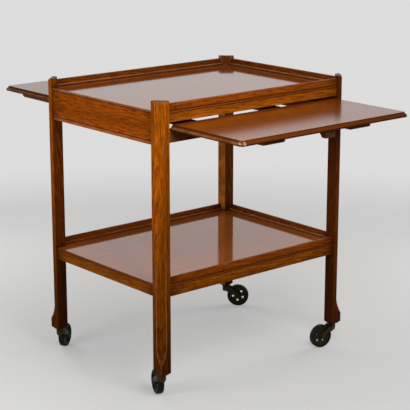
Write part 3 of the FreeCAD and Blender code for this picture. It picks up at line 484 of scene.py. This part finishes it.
# %% Beads and grooves of the aprons
APRON_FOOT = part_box("left_apron")[0].z
BEAD_TOP = APRON_FOOT + 8.6 * MM
QUIRK_MIDDLE = APRON_FOOT + 10.0 * MM     # the groove over the bead
QUIRK_ARRIS = APRON_FOOT + 12.4 * MM      # and the arris over the groove
QUIRK_REACH = 2.0 * MM
BEAD_SHARE = 0.4
WAX_SHARE = 0.9


def level_line(tree, height, level, reach, share):
    """Mask of a level line: the share at its level, fading to nothing at its reach above and below."""
    off = add_node(tree, "ShaderNodeMath", {0: height, 1: level}, operation="SUBTRACT")
    off = add_node(tree, "ShaderNodeMath", {0: off.outputs[0]}, operation="ABSOLUTE")
    return add_node(tree, "ShaderNodeMapRange",
                    {"Value": off.outputs[0], "From Max": reach,
                     "To Min": share, "To Max": 0.0}).outputs[0]


def rubbed_apron(tree, surface):
    """The bead along the foot of an apron, and the arris just above the groove over it."""
    bead = add_node(tree, "ShaderNodeMath", {0: surface.height, 1: BEAD_TOP}, operation="LESS_THAN")
    arris = level_line(tree, surface.height, QUIRK_ARRIS, RUBBED_WIDTH, 1.0)
    mask = add_node(tree, "ShaderNodeMath", {0: bead.outputs[0], 1: arris}, operation="MAXIMUM")
    return patchy(tree, surface, mask.outputs[0], BEAD_SHARE)


def apron_quirk_shade(tree, surface):
    """Painted shade in the groove over that bead."""
    return level_line(tree, surface.height, QUIRK_MIDDLE, QUIRK_REACH, WAX_SHARE)


print("apron's foot at", round(APRON_FOOT, 4), "m")

# %% Painted shade at the foot of the galleries, and a painted highlight on their beads
LOWER_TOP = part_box("lower_tray_board")[1].z
TRAY_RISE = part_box("upper_tray_board")[1].z - LOWER_TOP
WAX_HEIGHT = 3.0 * MM
BEAD_CROWN = 4.9 * MM          # the highest part of a gallery's bead that still faces up
CROWN_FACING = 0.3


def above_tray(tree, surface):
    """Height above the tray that a gallery stands on. The two are told apart by their rise."""
    height = add_node(tree, "ShaderNodeMath", {0: surface.height, 1: LOWER_TOP}, operation="SUBTRACT")
    return add_node(tree, "ShaderNodeMath", {0: height.outputs[0], 1: TRAY_RISE},
                    operation="FLOORED_MODULO").outputs[0]


def gallery_foot(tree, surface):
    """Painted shade along the foot of a gallery, fading upwards from the board."""
    return add_node(tree, "ShaderNodeMapRange",
                    {"Value": above_tray(tree, surface), "From Max": WAX_HEIGHT,
                     "To Min": WAX_SHARE, "To Max": 0.0}).outputs[0]


def bead_crown(tree, surface):
    """A painted highlight along the top of the bead inside a gallery, where it faces up."""
    line = level_line(tree, above_tray(tree, surface), BEAD_CROWN, RUBBED_WIDTH, 1.0)
    upward = add_node(tree, "ShaderNodeMath", {0: surface.faces_up, 1: CROWN_FACING},
                      operation="GREATER_THAN")
    return patchy(tree, surface, line, upward.outputs[0])


print("upper tray", round(TRAY_RISE, 4), "m above the lower one")

# %% Dark joints and corners
JOINT_REACH = 42.0 * MM
JOINT_SHARE = 0.8
JOINT_LOW = 300.0 * MM         # below this height joints are darkest
JOINT_HIGH = 600.0 * MM        # and above this one they are half as dark
CORNER_RISE = 14.0 * MM
CORNER_SHARE = 0.85
INNER_SHARE = 0.6
INNER_RANGE = (-0.1, -0.2)     # metres: place times normal, on a side that faces the middle


def beside_leg(tree, surface):
    """The ends of rails, aprons and galleries, darker where they meet a leg, most of all low down."""
    mirrored = add_node(tree, "ShaderNodeVectorMath", {0: surface.place}, operation="ABSOLUTE")
    inwards = add_node(tree, "ShaderNodeVectorMath", {0: mirrored.outputs[0], 1: INNER_CORNER},
                       operation="SUBTRACT")
    inwards = add_node(tree, "ShaderNodeSeparateXYZ", {"Vector": inwards.outputs[0]}).outputs
    nearest = add_node(tree, "ShaderNodeMath", {0: inwards["X"], 1: inwards["Y"]}, operation="MINIMUM")
    near = add_node(tree, "ShaderNodeMapRange",
                    {"Value": nearest.outputs[0], "From Min": -JOINT_REACH, "From Max": 0.0,
                     "To Max": JOINT_SHARE})
    low = add_node(tree, "ShaderNodeMapRange",
                   {"Value": surface.height, "From Min": JOINT_LOW, "From Max": JOINT_HIGH,
                    "To Min": 1.0, "To Max": 0.5})
    return add_node(tree, "ShaderNodeMath", {0: near.outputs[0], 1: low.outputs[0]},
                    operation="MULTIPLY").outputs[0]


def facing_middle(tree, surface, operation):
    """Place times normal along X and Y, which is below zero where a leg faces the middle.

    Their MINIMUM is below zero on both inner sides, and their MAXIMUM only in the scoop between them.
    """
    facing = add_node(tree, "ShaderNodeVectorMath", {0: surface.place, 1: surface.normal},
                      operation="MULTIPLY")
    facing = add_node(tree, "ShaderNodeSeparateXYZ", {"Vector": facing.outputs[0]}).outputs
    return add_node(tree, "ShaderNodeMath", {0: facing["X"], 1: facing["Y"]},
                    operation=operation).outputs[0]


def inner_face(tree, surface, share=INNER_SHARE):
    """Painted shade on the two sides of a leg towards the middle, which never see the light of a window.
    """
    start, full = INNER_RANGE
    return add_node(tree, "ShaderNodeMapRange",
                    {"Value": facing_middle(tree, surface, "MINIMUM"),
                     "From Min": start, "From Max": full, "To Max": share}).outputs[0]


def tray_corner(tree, surface):
    """Painted shade where the inner sides of a leg meet a tray."""
    low = add_node(tree, "ShaderNodeMapRange",
                   {"Value": above_tray(tree, surface), "From Max": CORNER_RISE,
                    "To Min": CORNER_SHARE, "To Max": 0.0})
    return add_node(tree, "ShaderNodeMath", {0: low.outputs[0], 1: inner_face(tree, surface, 1.0)},
                    operation="MULTIPLY").outputs[0]


print("joints dark for", round(JOINT_REACH / MM), "mm, corners for", round(CORNER_RISE / MM), "mm")

# %% Painted light on one side of a leg, darker tops, and end grain
FADED_SHARE = 0.7
FADED_RANGE = (-0.8, -0.95)    # how far a side faces the open end
HANDLED_FROM = LEG_TOP - 90.0 * MM
HANDLED_FULL = LEG_TOP - 60.0 * MM
HANDLED_SHARE = 0.65
SCOOP_RANGE = (-0.05, -0.14)   # metres: place times normal, in the scoop
SCOOP_SHARE = 0.5
END_SHARE = 0.8


def faded_side(tree, surface):
    """Painted light on the side of a leg towards the open end."""
    start, full = FADED_RANGE
    side = add_node(tree, "ShaderNodeMapRange",
                    {"Value": surface.faces_x, "From Min": start, "From Max": full})
    return patchy(tree, surface, side.outputs[0], FADED_SHARE)


def handled_top(tree, surface):
    """A leg, darker towards its top."""
    return add_node(tree, "ShaderNodeMapRange",
                    {"Value": surface.height, "From Min": HANDLED_FROM, "From Max": HANDLED_FULL,
                     "To Max": HANDLED_SHARE}).outputs[0]


def end_grain(tree, surface):
    """The tops of the legs, and the scoops that cut across the grain there."""
    start, full = SCOOP_RANGE
    scoop = add_node(tree, "ShaderNodeMapRange",
                     {"Value": facing_middle(tree, surface, "MAXIMUM"),
                      "From Min": start, "From Max": full, "To Max": SCOOP_SHARE})
    top = add_node(tree, "ShaderNodeMapRange",
                   {"Value": surface.faces_up, "From Min": 0.6, "To Max": END_SHARE})
    soaked = add_node(tree, "ShaderNodeMath", {0: scoop.outputs[0], 1: top.outputs[0]},
                      operation="MAXIMUM")
    at_top = add_node(tree, "ShaderNodeMath", {0: surface.height, 1: SCOOP_STOP},
                      operation="GREATER_THAN")
    return add_node(tree, "ShaderNodeMath", {0: at_top.outputs[0], 1: soaked.outputs[0]},
                    operation="MULTIPLY").outputs[0]


print("hands darken the top", round((LEG_TOP - HANDLED_FROM) / MM), "mm")

# %% [markdown]
# ## The frame in oak
#
# Each leg gets its own oak, as a lit or a shaded copy. The near leg is golden brown, the front leg at
# the far end is painted darker as shade, the one behind it is painted lighter as light, and the others
# have painted shade on the sides that face the middle. Rails and galleries differ by the way their
# grain runs and by their tone: what stands at the back or the far end is painted darker, as shade. One
# oak for the whole frame would be shorter, but the frame would then look cut from a single block.

# %% Dress the legs
# Pale oak for worn arrises and for painted highlights; dark oak for soaked end grain and for painted
# shade
OAK_WORN = "#c08450"
OAK_DARK = "#381404"
OAK_FADED = "#dc8024"
LEG_TONES = ("#c2680c", "#a04e06", "#561e04")
# Painted light: a lighter copy of the leg tones for the leg behind the far front one
FADED_LEG_TONES = ("#d47a10", "#b25c08", "#602604")
# Painted shade: a darker copy of the leg tones for the front leg at the far end
DARK_LEG_TONES = ("#9c500a", "#803a06", "#421604")
LEG_FOOT_SHADING = 0.18
SHADED_LEG_FOOT_SHADING = 0.42
LEG_MARKS = ((OAK_DARK, end_grain), (OAK_DARK, tray_corner), (OAK_WORN, worn_chamfer_and_glint),
             (OAK_WORN, rubbed_scoop))
INNER_MARKS = ((OAK_DARK, inner_face), *LEG_MARKS)
HANDLED_MARKS = ((OAK_DARK, handled_top), *INNER_MARKS)
FADED_MARKS = ((OAK_DARK, inner_face), (OAK_FADED, faded_side), *LEG_MARKS)


def dress(names, material):
    """Give each named part the material, in place of the plain one it came with."""
    for name in names:
        slots = nodes[name].data.materials
        slots.clear()
        slots.append(material)
    print(material.name, "on", len(names), "parts")


# Planed and stained oak: long dark streaks in warm brown, and arrises that catch the eye as pale lines
leg_woods = {
    "front_left_leg": ("oak, near leg", LEG_TONES, LEG_FOOT_SHADING, LEG_MARKS),
    "back_right_leg": ("oak, faded leg", FADED_LEG_TONES, LEG_FOOT_SHADING, FADED_MARKS),
    "back_left_leg": ("oak, leg dark inside", LEG_TONES, LEG_FOOT_SHADING, INNER_MARKS),
    "front_right_leg": ("oak, dark leg", DARK_LEG_TONES, SHADED_LEG_FOOT_SHADING, HANDLED_MARKS),
}
# The legs' foot shading paints them darker towards the floor, as shade
for leg, (wood, tones, foot_shading, marks) in leg_woods.items():
    dress([leg], stained_oak(wood, "z", tones, figure=1.0, foot_shading=foot_shading, marks=marks))

# %% Dress the rails and aprons
RAIL_TONES = ("#b6680e", "#944a0a", "#582404")
APRON_TONES = ("#c0600a", "#9a4404", "#5a2204")
RAIL_MARKS = ((OAK_DARK, beside_leg),)
APRON_MARKS = ((OAK_DARK, beside_leg), (OAK_WORN, rubbed_apron), (OAK_DARK, apron_quirk_shade))

# The same oak with level grain: rails with strong arcs, aprons redder and more even
long_rails = ["upper_front_rail", "upper_back_rail", "lower_front_rail", "lower_back_rail"]
# A foot shading below 1 paints shade on the lower rails
dress(long_rails,
      stained_oak("oak, long rails", "x", RAIL_TONES, figure=0.9, foot_shading=0.65, marks=RAIL_MARKS))
dress(["lower_left_rail", "lower_right_rail"],
      stained_oak("oak, cross rails", "y", RAIL_TONES, marks=RAIL_MARKS))
dress(["left_apron", "right_apron"], stained_oak("oak, aprons", "y", APRON_TONES, marks=APRON_MARKS))

# %% Dress the galleries
GALLERY_TONES = ("#9a4e0c", "#7e3a08", "#4a1c04")
# Painted shade: darker tones for the galleries at the back and the far end
DARK_GALLERY_TONES = ("#84420c", "#6a3008", "#3e1804")
GALLERY_MARKS = ((OAK_DARK, gallery_foot), (OAK_DARK, beside_leg), (OAK_WORN, bead_crown))

# Darker oak strips, with a black line of painted shade at their foot and a painted highlight along
# their bead; the far ones are painted darker as shade, and the lower ones lighter as light
long_galleries = ["upper_front_gallery", "lower_front_gallery", "lower_back_gallery"]
dress(long_galleries,
      stained_oak("oak, long galleries", "x", GALLERY_TONES, foot_shading=1.3, marks=GALLERY_MARKS))
dress(["upper_back_gallery"],
      stained_oak("oak, far gallery", "x", DARK_GALLERY_TONES, marks=GALLERY_MARKS))
dress(["upper_right_gallery", "lower_right_gallery"],
      stained_oak("oak, cross galleries", "y", DARK_GALLERY_TONES, foot_shading=1.2, marks=GALLERY_MARKS))

# %% [markdown]
# ## Polished boards
#
# The trays and leaves are smoother than the frame: a fine straight grain of red-brown veneer under
# a thick clear polish. At a low angle the polish mirrors the room, so the boards look grey and pale
# far from the eye. A clear coat over the wood does that by itself. The moulded edges are plain wood
# with little polish, with painted shade underneath and in the quirks, and a painted highlight in places
# at the open end. The lower tray is painted lighter than the upper one, as light. The near corner of
# the front leaf is chipped.

# %% Plain edges of the boards
LEAF_QUIRK = "#4a1c06"
LEAF_STEP = 2.4 * MM           # from the top of a leaf down to its moulded edge
LEAF_BEVEL = 6.2 * MM          # drop of that edge
BEVEL_RUBBED = (0.3, 0.7)      # of that drop: the painted highlight grows from the first to the second
CHIP_COLOUR = "#d8b898"
CHIP_SIZE = 4.0 * MM
CHIP_REACH = 18.0 * MM         # chips lie within this distance of the corner


def chips(tree, surface, corner):
    """Mask of small spots near a corner."""
    reach = add_node(tree, "ShaderNodeVectorMath", {0: surface.place, 1: corner}, operation="DISTANCE")
    close = add_node(tree, "ShaderNodeMapRange",
                     {"Value": reach.outputs["Value"], "From Min": CHIP_REACH,
                      "From Max": 0.5 * CHIP_REACH})
    spots = add_node(tree, "ShaderNodeTexNoise",
                     {"Vector": surface.place, "Scale": 1.0 / CHIP_SIZE, "Detail": 2.0})
    spots = add_node(tree, "ShaderNodeMapRange",
                     {"Value": spots.outputs["Fac"], "From Min": 0.56, "From Max": 0.6})
    return add_node(tree, "ShaderNodeMath", {0: close.outputs[0], 1: spots.outputs[0]},
                    operation="MULTIPLY").outputs[0]


def board_edge(tree, surface, tones, corner):
    """Colour of a board's edge, in tones for under, side and lip, by how far it faces up.

    A leaf has a corner, which is chipped and lies at the top of its moulded edge. What is higher is
    painted shade, the dark quirk beside the leaf's field. The dark under tones, and on the trays the
    dark lip tone in the groove below the gallery, are painted shade too.
    """
    under, side, lip = tones
    upward = add_node(tree, "ShaderNodeMapRange", {"Value": surface.faces_up, "From Min": -1.0})
    colour = add_node(tree, "ShaderNodeValToRGB", {"Fac": upward.outputs[0]},
                      stops=[(0.25, under), (0.85, lip), (0.5, side)]).outputs["Color"]
    if corner is None:
        return colour
    quirk = add_node(tree, "ShaderNodeMath", {0: surface.height, 1: corner[2]},
                     operation="GREATER_THAN").outputs[0]
    for mask, code in ((quirk, LEAF_QUIRK), (chips(tree, surface, corner), CHIP_COLOUR)):
        colour = add_node(tree, "ShaderNodeMix", {"Factor": mask, "A": colour, "B": linear(code)},
                          data_type="RGBA").outputs["Result"]
    return colour


def rubbed_end(tree, surface, limit, share, corner):
    """Mask of a painted highlight at the open end, up to a limit along X and strongest where the edge
    faces up: all of a tray's edge, the foot of a leaf's.
    """
    near = add_node(tree, "ShaderNodeMath", {0: surface.x, 1: limit}, operation="LESS_THAN")
    looks_up = add_node(tree, "ShaderNodeMapRange",
                        {"Value": surface.faces_up, "From Min": -0.8, "From Max": 0.6, "To Min": 0.25})
    pale = add_node(tree, "ShaderNodeMath", {0: near.outputs[0], 1: looks_up.outputs[0]},
                    operation="MULTIPLY")
    if corner is not None:
        start, full = [corner[2] - part * LEAF_BEVEL for part in BEVEL_RUBBED]
        lower = add_node(tree, "ShaderNodeMapRange",
                         {"Value": surface.height, "From Min": start, "From Max": full})
        pale = add_node(tree, "ShaderNodeMath", {0: pale.outputs[0], 1: lower.outputs[0]},
                        operation="MULTIPLY")
    return patchy(tree, surface, pale.outputs[0], share)


leaf_low, leaf_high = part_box("front_leaf_board")
leaf_corner = (leaf_low.x, leaf_low.y, leaf_high.z - LEAF_STEP)
print("chipped corner at", [round(c, 4) for c in leaf_corner])

# %% Veneer under clear polish
VENEER_STREAK = 3.0 * MM
VENEER_PORE = 1.6 * MM         # open pores, drawn coarser than real ones, break up the polish
STREAK_STRETCH = 45.0          # along the grain
PORE_STRETCH = 4.0
POLISH_IOR = 1.6
BOARD_SHINE = 0.025            # of the wood under the polish
EDGE_ROUGHNESS = 0.5


def polished_veneer(name, tones, edges, blur, open_pores, rubbed=None, corner=None):
    """Straight-grained veneer under a clear coat, with edges of plain wood.

    The tones are a light and a dark one, and edges are those of board_edge. Blur is
    the roughness of the polish, and the share open_pores of it is lost over the deepest pores. Highlight
    is the limit and the share for rubbed_end, a painted highlight.
    """
    light, dark = tones
    material, tree, shader = new_material(name)
    surface = read_surface(tree)
    long_grain = add_node(tree, "ShaderNodeMapping",
                          {"Vector": surface.place, "Scale": along("x", STREAK_STRETCH)})
    streaks = add_node(tree, "ShaderNodeTexNoise",
                       {"Vector": long_grain.outputs[0], "Scale": 1.0 / VENEER_STREAK, "Detail": 4.0,
                        "Roughness": 0.6})
    field = add_node(tree, "ShaderNodeValToRGB", {"Fac": streaks.outputs["Fac"]},
                     stops=[(0.3, dark), (0.7, light)])
    top = add_node(tree, "ShaderNodeMapRange",
                   {"Value": surface.faces_up, "From Min": 0.90, "From Max": 0.98}).outputs[0]
    colour = add_node(tree, "ShaderNodeMix",
                      {"Factor": top, "A": board_edge(tree, surface, edges, corner),
                       "B": field.outputs["Color"]}, data_type="RGBA").outputs["Result"]
    # A painted highlight on the edges at the open end
    if rubbed is not None:
        colour = add_node(tree, "ShaderNodeMix",
                          {"Factor": rubbed_end(tree, surface, *rubbed, corner), "A": colour,
                           "B": linear(OAK_WORN)}, data_type="RGBA").outputs["Result"]
    tree.links.new(colour, shader.inputs["Base Color"])

    short_grain = add_node(tree, "ShaderNodeMapping",
                           {"Vector": surface.place, "Scale": along("x", PORE_STRETCH)})
    pores = add_node(tree, "ShaderNodeTexNoise",
                     {"Vector": short_grain.outputs[0], "Scale": 1.0 / VENEER_PORE, "Detail": 1.0})
    filled = add_node(tree, "ShaderNodeMapRange",
                      {"Value": pores.outputs["Fac"], "From Min": 0.4, "From Max": 0.7,
                       "To Min": 1.0, "To Max": 1.0 - open_pores})
    upper = add_node(tree, "ShaderNodeMapRange",
                     {"Value": surface.faces_up, "From Min": 0.75, "From Max": 0.95})
    coat = add_node(tree, "ShaderNodeMath", {0: upper.outputs[0], 1: filled.outputs[0]},
                    operation="MULTIPLY")
    tree.links.new(coat.outputs[0], shader.inputs["Coat Weight"])
    shader.inputs["Coat Roughness"].default_value = blur
    shader.inputs["Coat IOR"].default_value = POLISH_IOR
    roughness = add_node(tree, "ShaderNodeMapRange",
                         {"Value": top, "To Min": EDGE_ROUGHNESS, "To Max": blur})
    tree.links.new(roughness.outputs[0], shader.inputs["Roughness"])
    shader.inputs["Specular IOR Level"].default_value = BOARD_SHINE
    return material


print("veneer streaks:", round(VENEER_STREAK * STREAK_STRETCH / MM), "mm long")

# %% Dress the trays and leaves
TRAY_NOSE = 3.2 * MM           # rounding of a tray's edge
LEAF_EDGE = 7.0 * MM           # width of a leaf's moulded edge
TRAY_RUBBED = 0.5              # shares of painted highlight at the open end
LEAF_RUBBED = 0.36
UPPER_TRAY_TONES = ("#9e5020", "#843e12")
# The lower tray's tones are painted lighter than the upper tray's, as light
LOWER_TRAY_TONES = ("#b6642e", "#9a5020")
LEAF_TONES = ("#944a0c", "#622c04")
# Edge tones for under, side and lip; the dark ones are painted shade
TRAY_EDGES = ("#4a2008", "#8a4416", "#4a2008")
LEAF_EDGES = ("#2a1203", "#3e1c05", "#582804")
tray_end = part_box("upper_tray_board")[0].x + TRAY_NOSE
leaf_end = leaf_low.x + LEAF_EDGE

# Polished veneer: red-brown from above, and a pale mirror at a low angle, sharp on the trays and soft
# on the leaves, whose open pores break it up
dress(["upper_tray_board"],
      polished_veneer("polished veneer, upper tray", UPPER_TRAY_TONES, TRAY_EDGES,
                      blur=0.08, open_pores=0.1, rubbed=(tray_end, TRAY_RUBBED)))
dress(["lower_tray_board"],
      polished_veneer("polished veneer, lower tray", LOWER_TRAY_TONES, TRAY_EDGES,
                      blur=0.08, open_pores=0.1))
dress(["front_leaf_board", "back_leaf_board"],
      polished_veneer("polished veneer, leaves", LEAF_TONES, LEAF_EDGES,
                      blur=0.16, open_pores=0.45, rubbed=(leaf_end, LEAF_RUBBED), corner=leaf_corner))

# %% [markdown]
# ## Wood that is out of sight
#
# The rails under the leaves, the runners, guide bars, keepers, bearers and pulls are plain wood,
# stained dark and hardly polished. The oak above serves for them too, in browner and duller tones and
# without marks of wear.

# %% Dress the inner wood
SLIDE_TONES = ("#a45c2c", "#884a20", "#502a12")
BEARER_TONES = ("#84501e", "#683a12", "#3e220a")
PULL_TONES = ("#5e3e24", "#4a2e1a", "#2c1a0c")

# Dull brown wood that stays in the shade, the pulls darkest
lengthwise = [name for name in nodes if name.endswith(("_slide_rail", "_guide_bar", "_keeper"))]
crosswise = [name for name in nodes if name.endswith(("_runner", "_bearer"))]
pulls = [name for name in nodes if name.endswith("_pull")]
dress(lengthwise, stained_oak("inner wood, lengthwise", "x", SLIDE_TONES))
dress(crosswise, stained_oak("inner wood, crosswise", "y", BEARER_TONES))
dress(pulls, stained_oak("inner wood, pulls", "y", PULL_TONES))

# %% [markdown]
# ## Iron, steel and rubber
#
# The castors are cast iron, browned with age and a little oily. Their tyres are hard black rubber,
# and the screws under the leaves are dull steel. All three are nearly even, so two close tones and a
# little relief from one noise are enough. A single flat colour would look like plastic.

# %% Dress the castors and screws
GRAIN_RELIEF = 0.3
GRAIN_DEPTH = 0.3 * MM


def mottled(name, light, dark, grain, metallic, roughness, shine):
    """A dull surface: two close tones and a little relief from a noise of the given grain size."""
    material, tree, shader = new_material(name)
    place = add_node(tree, "ShaderNodeTexCoord").outputs["Object"]
    noise = add_node(tree, "ShaderNodeTexNoise",
                     {"Vector": place, "Scale": 1.0 / grain, "Detail": 4.0}).outputs["Fac"]
    colour = add_node(tree, "ShaderNodeValToRGB", {"Fac": noise}, stops=[(0.35, dark), (0.65, light)])
    tree.links.new(colour.outputs["Color"], shader.inputs["Base Color"])
    bump = add_node(tree, "ShaderNodeBump",
                    {"Height": noise, "Strength": GRAIN_RELIEF, "Distance": GRAIN_DEPTH})
    tree.links.new(bump.outputs["Normal"], shader.inputs["Normal"])
    shader.inputs["Metallic"].default_value = metallic
    shader.inputs["Roughness"].default_value = roughness
    shader.inputs["Specular IOR Level"].default_value = shine
    return material


# Browned cast iron: nearly black, with soft brown glints
iron = [name for name in nodes if name.endswith(("_socket", "_fork", "_axle", "_wheel"))]
dress(iron, mottled("browned cast iron", "#3a2e16", "#1e170a", grain=4 * MM,
                    metallic=0.35, roughness=0.5, shine=0.2))
# Moulded black rubber: darker and duller than the iron beside it
tyres = [name for name in nodes if name.endswith("_tyre")]
dress(tyres, mottled("black rubber", "#1c160c", "#120e08", grain=3 * MM,
                     metallic=0.0, roughness=0.6, shine=0.12))
# Dull steel: small grey gleams on the screw heads
screws = [name for name in nodes if name.endswith("_screws")]
dress(screws, mottled("dull steel", "#8a8680", "#6e6a64", grain=2 * MM,
                      metallic=1.0, roughness=0.45, shine=0.5))
